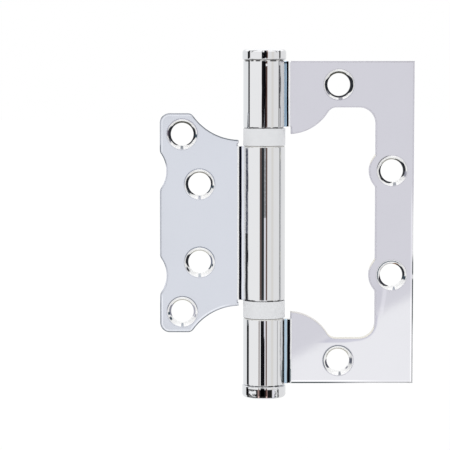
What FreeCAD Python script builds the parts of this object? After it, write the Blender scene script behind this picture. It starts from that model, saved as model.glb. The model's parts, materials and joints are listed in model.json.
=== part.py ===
import FreeCAD, Part
import math
import os

# Surface mount door hinge: two pressed steel leaves rolled round one pin, with a ball bearing at each joint
# between knuckles. The small leaf folds flat into the window of the large one.
# Millimetres. +Z runs up the pin, +X points to the frame leaf's side, -Y faces a person at the open hinge.
# The origin is the middle of the outer pair of screw holes of the frame leaf, on its back face.

# Driving dimensions of the two leaves
LEAF_HEIGHT = 100.0
FRAME_REACH = 46.3
SHEET = 2.5
BEND_RADIUS = 2.0
CURL_END_ANGLE = 13.0

# Barrel, from the top: knuckle, bearing, door knuckle, bearing, knuckle
PIN_DIAMETER = 7.9
PIN_CLEARANCE = 0.05
FRAME_KNUCKLE = 21.0
KNUCKLE_OVERHANG = 0.4
BEARING_HEIGHT = 5.5
NECK_RELIEF = 0.4
WING_SETBACK = 0.3

# Window of the frame leaf, and the wings that reach from it towards the barrel
SIDE_BAR = 11.9
END_BAR = 14.25
WINDOW_CORNER = 5.0
WING_X = 7.4
WING_RADIUS = 14.5
WING_DIP = 1.9
WING_BLEND = 3.0
BULGE_RADIUS = 7.1
BULGE_BLEND = 1.5

# Door leaf, which nests in the window with one gap beside it and a smaller one above and below
SIDE_GAP = 2.15
END_GAP = 1.8
DOOR_CORNER = 3.0
SHOULDER_X = 7.5
SHOULDER_RADIUS = 17.8
SHOULDER_CORNER = 2.0
NOTCH_CORNER = 2.2
DOOR_RELIEF = 0.4

# Countersunk screw holes
HOLE_DIAMETER = 7.0
COUNTERSINK_DIAMETER = 9.5
COUNTERSINK_ANGLE = 90.0
FRAME_OUTER_X = 23.0
FRAME_OUTER_EDGE = 7.2
FRAME_INNER_EDGE = 6.8
FRAME_INNER_SPACING = 32.4
DOOR_OUTER_EDGE_X = 6.9
DOOR_OUTER_EDGE_Z = 6.45
DOOR_INNER_EDGE = 12.25
DOOR_INNER_SPACING = 24.2

# Caps that close the barrel
CAP_DIAMETER = 13.5
TOP_CAP_HEIGHT = 3.2
BOTTOM_CAP_HEIGHT = 3.8
CAP_ROUND = 1.0
CAP_ROUND_STEPS = 3
CAP_BEVEL = 0.3
CAP_STEM = 6.0

# Ball thrust bearing inside each white sleeve
SLEEVE_WALL = 0.5
SLEEVE_RECESS = 0.1
RACE_PLAY = 0.05
RACE_BORE_PLAY = 0.1
BALL_DIAMETER = 1.2
BALL_COUNT = 8
BALL_SIDES = 8
BALL_PLAY = 0.02
TRACK_DEPTH = 0.3
TRACK_ANGLE = 90.0
CAGE_THICKNESS = 0.45
CAGE_EDGE_PLAY = 0.1
POCKET_PLAY = 0.04

# Sizes that follow from them
PIN_RADIUS = PIN_DIAMETER / 2
CURL_RADIUS = PIN_RADIUS + PIN_CLEARANCE
BARREL_RADIUS = CURL_RADIUS + SHEET
HALF_SHEET = SHEET / 2
BEND_Y = -(HALF_SHEET + BEND_RADIUS)
BEND_X = math.sqrt((BARREL_RADIUS + BEND_RADIUS) ** 2 - BEND_Y ** 2)
JOIN_ANGLE = math.degrees(math.atan2(-BEND_Y, BEND_X))

LEAF_TOP = LEAF_HEIGHT / 2
BARREL_TOP = LEAF_TOP + KNUCKLE_OVERHANG
FRAME_KNUCKLE_END = BARREL_TOP - FRAME_KNUCKLE
DOOR_KNUCKLE_END = FRAME_KNUCKLE_END - BEARING_HEIGHT
BEARING_MIDDLE = FRAME_KNUCKLE_END - BEARING_HEIGHT / 2

WINDOW_REACH = FRAME_REACH - SIDE_BAR
WINDOW_TOP = LEAF_TOP - END_BAR
WING_START = BEND_X + WING_SETBACK
WING_LOW = FRAME_KNUCKLE_END - WING_DIP
WING_Z = WING_LOW + WING_RADIUS
FRAME_INNER_X = FRAME_REACH - FRAME_INNER_EDGE
FRAME_INNER_Z = FRAME_INNER_SPACING / 2
FRAME_OUTER_Z = LEAF_TOP - FRAME_OUTER_EDGE

DOOR_REACH = WINDOW_REACH - SIDE_GAP
DOOR_TOP = WINDOW_TOP - END_GAP
SHOULDER_Z = WING_LOW - END_GAP + SHOULDER_RADIUS
NOTCH_RADIUS = BULGE_RADIUS + SIDE_GAP
DOOR_OUTER_X = DOOR_REACH - DOOR_OUTER_EDGE_X
DOOR_OUTER_Z = DOOR_TOP - DOOR_OUTER_EDGE_Z
DOOR_INNER_X = DOOR_REACH - DOOR_INNER_EDGE
DOOR_INNER_Z = DOOR_INNER_SPACING / 2

SLEEVE_BORE = BARREL_RADIUS - SLEEVE_WALL
RACE_OUTER = SLEEVE_BORE - RACE_PLAY
RACE_INNER = PIN_RADIUS + RACE_BORE_PLAY
PITCH_RADIUS = (RACE_OUTER + RACE_INNER) / 2
BALL_RADIUS = BALL_DIAMETER / 2
TRACK_BOTTOM = (BALL_RADIUS + BALL_PLAY) / math.sin(math.radians(TRACK_ANGLE / 2))
RACE_FACE = TRACK_BOTTOM - TRACK_DEPTH
RACE_TOP = BEARING_HEIGHT / 2

UP = FreeCAD.Vector(0, 0, 1)
BACKWARD = FreeCAD.Vector(0, 1, 0)
CENTRE = FreeCAD.Vector(0, 0, 0)
PIN_PLACE = FreeCAD.Vector(-FRAME_OUTER_X, -HALF_SHEET, 0)
FIT = 0.01


def slab(x_low, x_high, z_low, z_high):
    """A flat piece of the sheet between two heights."""
    corner = FreeCAD.Vector(x_low, -HALF_SHEET, z_low)
    return Part.makeBox(x_high - x_low, SHEET, z_high - z_low, corner)


def through_disc(radius, x, z):
    """A round cutter through the sheet."""
    return Part.makeCylinder(radius, SHEET, FreeCAD.Vector(x, -HALF_SHEET, z), BACKWARD)


def both_halves(places):
    """The given places and their mirror images below the middle of the hinge."""
    return places + [(x, -z) for x, z in places]


def round_corners(solid, places, radius):
    """Rounds the corners of an outline, given as places in the plane of the sheet."""
    chosen = []
    for edge in solid.Edges:
        start = edge.Vertexes[0].Point
        end = edge.Vertexes[-1].Point
        if math.hypot(end.x - start.x, end.z - start.z) > FIT or abs(end.y - start.y) < FIT:
            continue
        if any(math.hypot(start.x - x, start.z - z) < FIT for x, z in places):
            chosen.append(edge)
    return solid.makeFillet(radius, chosen) if chosen else solid


def half_chord(radius, distance):
    """Half of the line that a circle cuts off at a distance from its centre, or 0 where it doesn't reach."""
    return math.sqrt(max(radius ** 2 - distance ** 2, 0.0))


def countersunk_hole(x, z):
    """Cutter for one screw: a clearance hole with its countersink on the front face."""
    half_angle = math.radians(COUNTERSINK_ANGLE / 2)
    depth = (COUNTERSINK_DIAMETER - HOLE_DIAMETER) / 2 / math.tan(half_angle)
    front = FreeCAD.Vector(x, -HALF_SHEET, z)
    cone = Part.makeCone(COUNTERSINK_DIAMETER / 2, HOLE_DIAMETER / 2, depth, front, BACKWARD)
    return cone.fuse(through_disc(HOLE_DIAMETER / 2, x, z))


def rolled_knuckle(neck_low, neck_high, low, high):
    """The end of the sheet, bent forward out of the leaf and then rolled round the pin."""
    neck_end = Part.Face(Part.makePolygon([
        FreeCAD.Vector(BEND_X, -HALF_SHEET, neck_low),
        FreeCAD.Vector(BEND_X, HALF_SHEET, neck_low),
        FreeCAD.Vector(BEND_X, HALF_SHEET, neck_high),
        FreeCAD.Vector(BEND_X, -HALF_SHEET, neck_high),
        FreeCAD.Vector(BEND_X, -HALF_SHEET, neck_low),
    ]))
    bend = neck_end.revolve(FreeCAD.Vector(BEND_X, BEND_Y, 0), UP, 90 - JOIN_ANGLE)
    curl_start = Part.Face(Part.makePolygon([
        FreeCAD.Vector(CURL_RADIUS, 0, low),
        FreeCAD.Vector(BARREL_RADIUS, 0, low),
        FreeCAD.Vector(BARREL_RADIUS, 0, high),
        FreeCAD.Vector(CURL_RADIUS, 0, high),
        FreeCAD.Vector(CURL_RADIUS, 0, low),
    ]))
    curl_start.rotate(CENTRE, UP, -JOIN_ANGLE)
    curl = curl_start.revolve(CENTRE, UP, -(360 - JOIN_ANGLE - CURL_END_ANGLE))
    return bend.fuse(curl)


def window_cutter():
    """Opening of the frame leaf: its wings and the swellings round the inner screw holes are left standing."""
    cutter = slab(0, WINDOW_REACH, -WINDOW_TOP, WINDOW_TOP)
    cutter = round_corners(cutter, both_halves([(WINDOW_REACH, WINDOW_TOP)]), WINDOW_CORNER)
    kept = [through_disc(WING_RADIUS, x, z) for x, z in both_halves([(WING_X, WING_Z)])]
    kept += [through_disc(BULGE_RADIUS, x, z) for x, z in both_halves([(FRAME_INNER_X, FRAME_INNER_Z)])]
    cutter = cutter.cut(kept)
    wing_end = WING_X + half_chord(WING_RADIUS, WING_Z - WINDOW_TOP)
    cutter = round_corners(cutter, both_halves([(wing_end, WINDOW_TOP)]), WING_BLEND)
    bulge_half = half_chord(BULGE_RADIUS, FRAME_INNER_X - WINDOW_REACH)
    bulge_ends = [(WINDOW_REACH, FRAME_INNER_Z + side * bulge_half) for side in (-1, 1)]
    cutter = round_corners(cutter, both_halves(bulge_ends), BULGE_BLEND)
    relief_z = FRAME_KNUCKLE_END + NECK_RELIEF - WING_SETBACK
    gap = slab(0, WING_START, -relief_z, relief_z)
    reliefs = [through_disc(WING_SETBACK, x, z) for x, z in both_halves([(BEND_X, relief_z)])]
    return cutter.fuse([gap] + reliefs)


def frame_leaf():
    """Large leaf: outer plate with the window, and a knuckle at the top and bottom of the barrel."""
    leaf = slab(BEND_X, FRAME_REACH, -LEAF_TOP, LEAF_TOP).cut(window_cutter())
    neck_end = FRAME_KNUCKLE_END + NECK_RELIEF
    upper = rolled_knuckle(neck_end, LEAF_TOP, FRAME_KNUCKLE_END, BARREL_TOP)
    lower = rolled_knuckle(-LEAF_TOP, -neck_end, -BARREL_TOP, -FRAME_KNUCKLE_END)
    holes = both_halves([(FRAME_OUTER_X, FRAME_OUTER_Z), (FRAME_INNER_X, FRAME_INNER_Z)])
    leaf = leaf.fuse([upper, lower]).removeSplitter()
    return leaf.cut([countersunk_hole(x, z) for x, z in holes])


def door_leaf():
    """Small leaf, in the shape of the window less the nesting gap, with the long middle knuckle."""
    leaf = slab(BEND_X, DOOR_REACH, -DOOR_TOP, DOOR_TOP)
    leaf = round_corners(leaf, both_halves([(DOOR_REACH, DOOR_TOP)]), DOOR_CORNER)
    cutters = [through_disc(SHOULDER_RADIUS, x, z) for x, z in both_halves([(SHOULDER_X, SHOULDER_Z)])]
    cutters += [through_disc(NOTCH_RADIUS, x, z) for x, z in both_halves([(FRAME_INNER_X, FRAME_INNER_Z)])]
    leaf = leaf.cut(cutters)
    shoulder_end = SHOULDER_X + half_chord(SHOULDER_RADIUS, SHOULDER_Z - DOOR_TOP)
    leaf = round_corners(leaf, both_halves([(shoulder_end, DOOR_TOP)]), SHOULDER_CORNER)
    notch_half = half_chord(NOTCH_RADIUS, FRAME_INNER_X - DOOR_REACH)
    notch_ends = [(DOOR_REACH, FRAME_INNER_Z + side * notch_half) for side in (-1, 1)]
    leaf = round_corners(leaf, both_halves(notch_ends), NOTCH_CORNER)
    reliefs = both_halves([(BEND_X, DOOR_KNUCKLE_END + DOOR_RELIEF)])
    leaf = leaf.cut([through_disc(DOOR_RELIEF, x, z) for x, z in reliefs])
    knuckle = rolled_knuckle(-DOOR_KNUCKLE_END, DOOR_KNUCKLE_END, -DOOR_KNUCKLE_END, DOOR_KNUCKLE_END)
    leaf = leaf.fuse(knuckle).removeSplitter()
    holes = both_halves([(DOOR_OUTER_X, DOOR_OUTER_Z), (DOOR_INNER_X, DOOR_INNER_Z)])
    leaf = leaf.cut([countersunk_hole(x, z) for x, z in holes])
    return leaf.mirror(CENTRE, FreeCAD.Vector(1, 0, 0))


def hinge_pin():
    """Plain steel rod that fills the barrel between the stems of the caps."""
    half = BARREL_TOP - CAP_STEM
    return Part.makeCylinder(PIN_RADIUS, 2 * half, FreeCAD.Vector(0, 0, -half))


def turned(outline):
    """A solid of revolution about the pin's axis, from the (radius, height) corners of its section."""
    corners = [FreeCAD.Vector(radius, 0, z) for radius, z in outline + outline[:1]]
    return Part.Face(Part.makePolygon(corners)).revolve(CENTRE, UP, 360)


def cap(height):
    """Cap with a rounded rim and a stem that sits in the end of the barrel, made as the upper one."""
    radius = CAP_DIAMETER / 2
    outline = [
        (0, BARREL_TOP - CAP_STEM),
        (PIN_RADIUS, BARREL_TOP - CAP_STEM),
        (PIN_RADIUS, BARREL_TOP),
        (radius - CAP_BEVEL, BARREL_TOP),
        (radius, BARREL_TOP + CAP_BEVEL),
    ]
    for step in range(CAP_ROUND_STEPS + 1):
        turn = math.pi / 2 * step / CAP_ROUND_STEPS
        reach = radius - CAP_ROUND + CAP_ROUND * math.cos(turn)
        outline.append((reach, BARREL_TOP + height - CAP_ROUND + CAP_ROUND * math.sin(turn)))
    outline.append((0, BARREL_TOP + height))
    return turned(outline)


def ring(outer, inner, low, height):
    """A plain ring round the pin."""
    foot = FreeCAD.Vector(0, 0, low)
    return Part.makeCylinder(outer, height, foot).cut(Part.makeCylinder(inner, height, foot))


def sleeve():
    """White ring round a bearing, just shorter than the bearing so that it rubs on neither knuckle."""
    height = BEARING_HEIGHT - 2 * SLEEVE_RECESS
    return ring(BARREL_RADIUS, SLEEVE_BORE, -height / 2, height)


def race():
    """Hardened ring with a V-shaped ball track in its lower face, made as the upper one of a pair."""
    track_half = TRACK_DEPTH * math.tan(math.radians(TRACK_ANGLE / 2))
    return turned([
        (RACE_INNER, RACE_TOP),
        (RACE_INNER, RACE_FACE),
        (PITCH_RADIUS - track_half, RACE_FACE),
        (PITCH_RADIUS, TRACK_BOTTOM),
        (PITCH_RADIUS + track_half, RACE_FACE),
        (RACE_OUTER, RACE_FACE),
        (RACE_OUTER, RACE_TOP),
    ])


def ball_angles():
    """Angles of the balls round the pin, in degrees."""
    return [360 * number / BALL_COUNT for number in range(BALL_COUNT)]


def ball():
    """One steel ball at its pitch radius, in flat facets so that hidden balls don't outweigh the whole hinge."""
    hoops = []
    for row in range(BALL_SIDES // 2):
        tilt = math.pi * (2 * row + 1) / BALL_SIDES
        radius = BALL_RADIUS * math.sin(tilt)
        turns = [2 * math.pi * side / BALL_SIDES for side in range(BALL_SIDES + 1)]
        z = -BALL_RADIUS * math.cos(tilt)
        hoops.append([FreeCAD.Vector(radius * math.cos(turn), radius * math.sin(turn), z) for turn in turns])
    outlines = [hoops[0], hoops[-1]]
    for lower, upper in zip(hoops, hoops[1:]):
        for side in range(BALL_SIDES):
            corners = [lower[side], lower[side + 1], upper[side + 1], upper[side], lower[side]]
            outlines.append(corners)
    solid = Part.Solid(Part.Shell([Part.Face(Part.makePolygon(corners)) for corners in outlines]))
    solid.translate(FreeCAD.Vector(PITCH_RADIUS, 0, 0))
    return solid


def turned_copies(shape):
    """A copy of the shape at the place of each ball."""
    copies = []
    for angle in ball_angles():
        copy = shape.copy()
        copy.rotate(CENTRE, UP, angle)
        copies.append(copy)
    return copies


def balls():
    """All the balls of one bearing."""
    return Part.makeCompound(turned_copies(ball()))


def cage():
    """Thin nylon ring whose square pockets keep the balls apart."""
    plain = ring(RACE_OUTER - CAGE_EDGE_PLAY, RACE_INNER + CAGE_EDGE_PLAY, -CAGE_THICKNESS / 2, CAGE_THICKNESS)
    pocket = BALL_DIAMETER + 2 * POCKET_PLAY
    corner = FreeCAD.Vector(PITCH_RADIUS - pocket / 2, -pocket / 2, -CAGE_THICKNESS / 2)
    return plain.cut(turned_copies(Part.makeBox(pocket, pocket, CAGE_THICKNESS, corner)))


def upside_down(shape):
    """The same piece turned over about the X axis."""
    turned = shape.copy()
    turned.rotate(CENTRE, FreeCAD.Vector(1, 0, 0), 180)
    return turned


def at_height(shape, z):
    """The same piece moved along the pin."""
    moved = shape.copy()
    moved.translate(UP * z)
    return moved


def bearing_nodes(name, z):
    """Every piece of one bearing, at its height in the barrel."""
    pieces = {
        "sleeve": sleeve(),
        "upper_race": race(),
        "lower_race": upside_down(race()),
        "ball_cage": cage(),
        "balls": balls(),
    }
    return {name + "_bearing_" + piece: at_height(shape, z) for piece, shape in pieces.items()}


def all_nodes():
    """Every piece of the hinge, with the pin's axis at the origin."""
    nodes = {
        "frame_leaf": frame_leaf(),
        "door_leaf": door_leaf(),
        "hinge_pin": hinge_pin(),
        "top_cap": cap(TOP_CAP_HEIGHT),
        "bottom_cap": upside_down(cap(BOTTOM_CAP_HEIGHT)),
    }
    nodes.update(bearing_nodes("upper", BEARING_MIDDLE))
    nodes.update(bearing_nodes("lower", -BEARING_MIDDLE))
    return nodes


os.makedirs("parts", exist_ok=True)
for node, shape in all_nodes().items():
    shape.translate(PIN_PLACE)
    shape.exportStep("parts/" + node + ".step")
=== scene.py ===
import json
import math

import bmesh
import bpy
from bmesh.types import BMEdge, BMVert
from mathutils import Matrix, Vector


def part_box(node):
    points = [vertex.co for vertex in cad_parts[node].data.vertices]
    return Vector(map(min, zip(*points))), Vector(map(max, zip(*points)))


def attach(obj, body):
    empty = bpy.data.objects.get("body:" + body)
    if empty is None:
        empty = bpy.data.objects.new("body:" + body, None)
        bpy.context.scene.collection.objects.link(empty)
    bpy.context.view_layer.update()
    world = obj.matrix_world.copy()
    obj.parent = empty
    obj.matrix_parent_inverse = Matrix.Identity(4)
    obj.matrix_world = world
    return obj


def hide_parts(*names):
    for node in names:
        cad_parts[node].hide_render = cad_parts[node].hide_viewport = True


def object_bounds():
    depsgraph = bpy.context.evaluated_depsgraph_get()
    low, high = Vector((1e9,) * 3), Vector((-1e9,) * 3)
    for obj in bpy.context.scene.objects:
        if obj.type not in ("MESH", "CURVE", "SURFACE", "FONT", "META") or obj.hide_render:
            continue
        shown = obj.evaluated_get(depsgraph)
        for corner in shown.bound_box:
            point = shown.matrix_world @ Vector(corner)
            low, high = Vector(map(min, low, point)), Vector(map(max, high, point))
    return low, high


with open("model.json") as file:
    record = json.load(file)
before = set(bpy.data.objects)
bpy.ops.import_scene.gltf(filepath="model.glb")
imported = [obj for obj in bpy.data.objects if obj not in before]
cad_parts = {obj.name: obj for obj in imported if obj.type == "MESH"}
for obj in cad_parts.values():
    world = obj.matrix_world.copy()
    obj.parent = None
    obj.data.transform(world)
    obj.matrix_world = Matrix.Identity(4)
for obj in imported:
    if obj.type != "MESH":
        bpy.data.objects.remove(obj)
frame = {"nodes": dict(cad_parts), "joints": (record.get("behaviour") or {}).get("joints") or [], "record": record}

# Surface mount door hinge: bright chrome leaves and caps on a barrel with two white bearing rings.
# Metres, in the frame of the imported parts. Pieces are shaped round the pin's axis at the origin, leaves on
# the side of +X, and put in their place once they are finished.

bl_info = {
    "name": "Surface mount hinge",
    "version": (1, 0, 0),
    "blender": (4, 5, 0),
    "location": "View3D > Sidebar > Hinge",
    "description": "Dresses the packed hinge in chrome and nylon and sets its studio",
    "category": "Object",
}

MM = 0.001

# Points closer together than this are one point
FIT = 0.001 * MM

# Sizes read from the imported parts
CAD_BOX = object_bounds()
PIN = Vector(frame["joints"][0]["pos_m"])
SHEET = -2 * PIN.y
FRAME_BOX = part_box("frame_leaf")
DOOR_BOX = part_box("door_leaf")
BARREL_RADIUS = PIN.x - FRAME_BOX[0].x
BARREL_TOP = FRAME_BOX[1].z
FRAME_REACH = FRAME_BOX[1].x - PIN.x
DOOR_REACH = PIN.x - DOOR_BOX[0].x
DOOR_TOP = DOOR_BOX[1].z
FRAME_KNUCKLE_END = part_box("upper_bearing_upper_race")[1].z
DOOR_KNUCKLE_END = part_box("upper_bearing_lower_race")[0].z
MOUNTS = {mount["name"]: mount for mount in frame["record"]["mounts"]}
HOLE_RADIUS = MOUNTS["frame_outer_screws"]["dims"]["hole_r_mm"] * MM

# Sizes of the outlines that no box gives
SIDE_GAP = 2.15 * MM
END_GAP = 1.8 * MM
LEAF_TOP = BARREL_TOP - 0.4 * MM
NECK_RELIEF = 0.4 * MM
WING_SETBACK = 0.3 * MM
WINDOW_CORNER = 5.0 * MM
WING_CENTRE = (7.4 * MM, 42.0 * MM)
WING_RADIUS = 14.5 * MM
WING_BLEND = 3.0 * MM
BULGE_RADIUS = 7.1 * MM
BULGE_BLEND = 1.5 * MM
DOOR_CORNER = 3.0 * MM
SHOULDER_CENTRE = (7.5 * MM, 43.5 * MM)
SHOULDER_RADIUS = 17.8 * MM
SHOULDER_BLEND = 2.0 * MM
NOTCH_BLEND = 2.2 * MM
DOOR_RELIEF = 0.4 * MM
WINDOW_REACH = DOOR_REACH + SIDE_GAP
WINDOW_TOP = DOOR_TOP + END_GAP

# The sheet where it is rolled round the pin
HALF_SHEET = SHEET / 2
BEND_RADIUS = 2.0 * MM
BEND_Y = -(HALF_SHEET + BEND_RADIUS)
BEND_X = math.sqrt((BARREL_RADIUS + BEND_RADIUS) ** 2 - BEND_Y ** 2)
JOIN_ANGLE = math.atan2(-BEND_Y, BEND_X)
CURL_END_ANGLE = math.radians(13)
SHOULDER_ANGLE = math.radians(5)

# Edges and how finely round things are divided
EDGE_ROUND = 0.45 * MM
ROUND_STEPS = 4
ARC_STEP = math.radians(4)
CURL_STEP = math.radians(3)
TURN_STEPS = 128
HOLE_SIDES = 72
COUNTERSINK = 1.25 * MM
KNEE_WIDTH = 0.36 * COUNTERSINK
KNEE_DEPTH = 0.54 * COUNTERSINK
THROAT_DEPTH = 0.34 * COUNTERSINK
COLLAR = 0.35 * MM
LIP_ROUND = 0.12 * MM
THROAT_ROUND = 0.15 * MM
RING_WALL = 0.5 * MM


def leg(hypotenuse, other):
    """The other short side of a right-angled triangle."""
    return math.sqrt(hypotenuse ** 2 - other ** 2)


def only(geom, kind):
    """The parts of an operator's result that are of one kind."""
    return [part for part in geom if isinstance(part, kind)]


def rounded(bm, edges, offset, steps=ROUND_STEPS):
    """Rounds edges."""
    bmesh.ops.bevel(bm, geom=edges, offset=offset, segments=steps, profile=0.5, affect="EDGES", material=-1)


# Drawing and forming the sheet


class Pen:
    """Draws half of an outline in the plane of the leaf, with lines and tangent arcs."""

    def __init__(self, bm, x, z):
        self.bm = bm
        self.tip = bm.verts.new((x, 0, z))

    def line(self, x, z):
        """Draws a straight line to a place."""
        if (self.tip.co - Vector((x, 0, z))).length < FIT:
            return
        self.tip = bmesh.ops.extrude_vert_indiv(self.bm, verts=[self.tip])["verts"][0]
        self.tip.co = (x, 0, z)

    def arc(self, centre, towards):
        """Turns the shorter way about a centre, until it faces another place from there."""
        hub = Vector((centre[0], 0, centre[1]))
        start = self.tip.co - hub
        goal = Vector((towards[0], 0, towards[1])) - hub
        turn = math.atan2(start.cross(goal).y, start.dot(goal))
        steps = max(2, math.ceil(abs(turn) / ARC_STEP))
        spun = bmesh.ops.spin(
            self.bm, geom=[self.tip], cent=hub, axis=(0, 1, 0), dvec=(0, 0, 0), angle=turn, steps=steps
        )
        self.tip = only(spun["geom_last"], BMVert)[0]


def nesting_line(pen, reach, top, corner, disc, disc_blend, wing, wing_blend, end_x):
    """The line between the two leaves, from the middle of the far side round to the wing beside the barrel.
    disc and wing are a centre and a radius, and each meets the straight sides in a blend."""
    (disc_x, disc_z), disc_radius = disc
    (wing_x, wing_z), wing_radius = wing
    inset = reach - disc_blend
    rise = leg(disc_radius + disc_blend, disc_x - inset)
    below = (inset, disc_z - rise)
    above = (inset, disc_z + rise)
    pen.line(reach, below[1])
    pen.arc(below, disc[0])
    pen.arc(disc[0], above)
    pen.arc(above, (reach, above[1]))
    pen.line(reach, top - corner)
    pen.arc((reach - corner, top - corner), (reach - corner, top))
    ceiling = top - wing_blend
    foot = (wing_x + leg(wing_radius + wing_blend, wing_z - ceiling), ceiling)
    pen.line(foot[0], top)
    pen.arc(foot, wing[0])
    pen.arc(wing[0], (end_x, wing_z - leg(wing_radius, end_x - wing_x)))


def mirrored_plate(bm):
    """Closes the half outline with its mirror image and gives it the thickness of the sheet."""
    bmesh.ops.mirror(bm, geom=bm.verts[:] + bm.edges[:], matrix=Matrix(), merge_dist=FIT, axis="Z")
    bmesh.ops.remove_doubles(bm, verts=bm.verts[:], dist=FIT)
    bmesh.ops.dissolve_verts(bm, verts=[vert for vert in bm.verts if abs(vert.co.z) < FIT])
    front = bmesh.ops.contextual_create(bm, geom=bm.edges[:])["faces"][0]
    bmesh.ops.translate(bm, verts=bm.verts[:], vec=(0, -HALF_SHEET, 0))
    grown = bmesh.ops.extrude_face_region(bm, geom=[front], use_keep_orig=True)["geom"]
    bmesh.ops.translate(bm, verts=only(grown, BMVert), vec=(0, SHEET, 0))
    bmesh.ops.recalc_face_normals(bm, faces=bm.faces[:])


def at_neck(co, necks):
    """Whether a point lies in the end of the sheet that goes on into a knuckle."""
    return abs(co.x - BEND_X) < FIT and any(low - FIT < co.z < high + FIT for low, high in necks)


def round_outline(bm, necks):
    """Rounds the pressed edges of the plate, except where the knuckles go on from it."""
    rims = []
    for edge in bm.edges:
        first, last = (vert.co for vert in edge.verts)
        along_face = abs(first.y - last.y) < FIT
        if along_face and not (at_neck(first, necks) and at_neck(last, necks)):
            rims.append(edge)
    rounded(bm, rims, EDGE_ROUND)


def hole_places(names):
    """Centres of the screw holes of the named mounts, as places from the pin on the side of +X."""
    places = []
    for name in names:
        x, _, z = MOUNTS[name]["pos_m"]
        half = MOUNTS[name]["dims"]["spacing_y_mm"] * MM / 2
        places += [(abs(x - PIN.x), z + side * half) for side in (-1, 1)]
    return places


def countersunk_wall(bm, x, z):
    """Wall of one screw hole, open at both faces of the sheet with a flat collar. The cone has a knee."""
    hub = Matrix.Translation((x, -HALF_SHEET, z))
    lying = hub @ Matrix.Rotation(math.radians(90), 4, "X")
    radius = HOLE_RADIUS + COUNTERSINK + COLLAR
    made = bmesh.ops.create_circle(bm, cap_ends=False, segments=HOLE_SIDES, radius=radius, matrix=lying)
    rim = list({edge for vert in made["verts"] for edge in vert.link_edges})
    front_rim = rim
    steps = [
        (HOLE_RADIUS + COUNTERSINK, 0),
        (HOLE_RADIUS + KNEE_WIDTH, KNEE_DEPTH),
        (HOLE_RADIUS, THROAT_DEPTH),
        (HOLE_RADIUS, SHEET - KNEE_DEPTH - THROAT_DEPTH),
        (HOLE_RADIUS + COLLAR, 0),
    ]
    corners = []
    for wanted, deeper in steps:
        grown = bmesh.ops.extrude_edge_only(bm, edges=rim)["geom"]
        verts = only(grown, BMVert)
        rim = [edge for edge in only(grown, BMEdge) if all(vert in verts for vert in edge.verts)]
        bmesh.ops.translate(bm, verts=verts, vec=(0, deeper, 0))
        size = wanted / radius
        radius = wanted
        bmesh.ops.scale(bm, verts=verts, vec=(size, 1, size), space=Matrix.Translation((-x, 0, -z)))
        corners.append(rim)
    for edges, rounding in zip(corners[:1] + corners[2:4], (LIP_ROUND, THROAT_ROUND, LIP_ROUND)):
        rounded(bm, edges, rounding)
    return front_rim, rim


def pierce(bm, places):
    """Opens the screw holes in both faces of the plate."""
    broad = sorted(bm.faces, key=lambda face: face.calc_area())[-2:]
    front, back = sorted(broad, key=lambda face: face.calc_center_median().y)
    edges = [front.edges[:], back.edges[:]]
    bmesh.ops.delete(bm, geom=[front, back], context="FACES_ONLY")
    for x, z in places:
        front_rim, back_rim = countersunk_wall(bm, x, z)
        edges[0] += front_rim
        edges[1] += back_rim
    for loops in edges:
        bmesh.ops.triangle_fill(bm, use_beauty=True, use_dissolve=False, edges=loops, normal=(0, -1, 0))


def swept(bm, edges, centre, angle, step):
    """Sweeps open edges about an upright axis and returns the last ones."""
    verts = list({vert for edge in edges for vert in edge.verts})
    result = bmesh.ops.spin(
        bm, geom=verts + edges, cent=(centre[0], centre[1], 0), axis=(0, 0, 1), dvec=(0, 0, 0),
        angle=angle, steps=max(1, math.ceil(abs(angle) / step)),
    )
    return only(result["geom_last"], BMEdge)


def roll_knuckle(bm, neck, knuckle):
    """Bends the neck forward and rolls it round the pin; the barrel's ends stand a little proud."""
    end = [face for face in bm.faces if all(at_neck(vert.co, [neck]) for vert in face.verts)]
    rim = end[0].edges[:]
    bmesh.ops.delete(bm, geom=end, context="FACES_ONLY")
    rim = swept(bm, rim, (BEND_X, BEND_Y), math.pi / 2 - JOIN_ANGLE, ARC_STEP)
    rim = swept(bm, rim, (0, 0), -SHOULDER_ANGLE, SHOULDER_ANGLE)
    middle = sum(neck) / 2
    for vert in {vert for edge in rim for vert in edge.verts}:
        if vert.co.z > middle:
            vert.co.z += knuckle[1] - neck[1]
        else:
            vert.co.z += knuckle[0] - neck[0]
    curl = 2 * math.pi - JOIN_ANGLE - CURL_END_ANGLE - SHOULDER_ANGLE
    rim = swept(bm, rim, (0, 0), -curl, CURL_STEP)
    bmesh.ops.edgeloop_fill(bm, edges=rim)


def settle_normals(mesh, flat_axis):
    """Keeps flat faces and upright walls true right up to their rounded edges, and shades the rest evenly."""
    kept = [Vector() for _ in mesh.vertices]
    summed = [Vector() for _ in mesh.vertices]
    for face in mesh.polygons:
        is_true = abs(face.normal[flat_axis]) > 0.99999 or (flat_axis == 2 and abs(face.normal.z) < 0.0001)
        for index in face.vertices:
            summed[index] += face.normal * face.area
            if is_true:
                kept[index] += face.normal * face.area
    mesh.polygons.foreach_set("use_smooth", [True] * len(mesh.polygons))
    mesh.normals_split_custom_set_from_vertices(
        [(own if own.length > 0 else total).normalized() for own, total in zip(kept, summed)]
    )


def finished(bm, name, material, body, nodes, flat_axis=2):
    """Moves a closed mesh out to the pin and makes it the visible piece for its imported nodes."""
    bmesh.ops.translate(bm, verts=bm.verts[:], vec=(PIN.x, PIN.y, 0))
    bmesh.ops.remove_doubles(bm, verts=bm.verts[:], dist=FIT)
    bmesh.ops.recalc_face_normals(bm, faces=bm.faces[:])
    mesh = bpy.data.meshes.new(name)
    bm.to_mesh(mesh)
    bm.free()
    settle_normals(mesh, flat_axis)
    mesh.materials.append(material)
    piece = bpy.data.objects.new(name, mesh)
    bpy.context.scene.collection.objects.link(piece)
    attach(piece, body)
    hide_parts(*nodes)
    return piece


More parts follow.
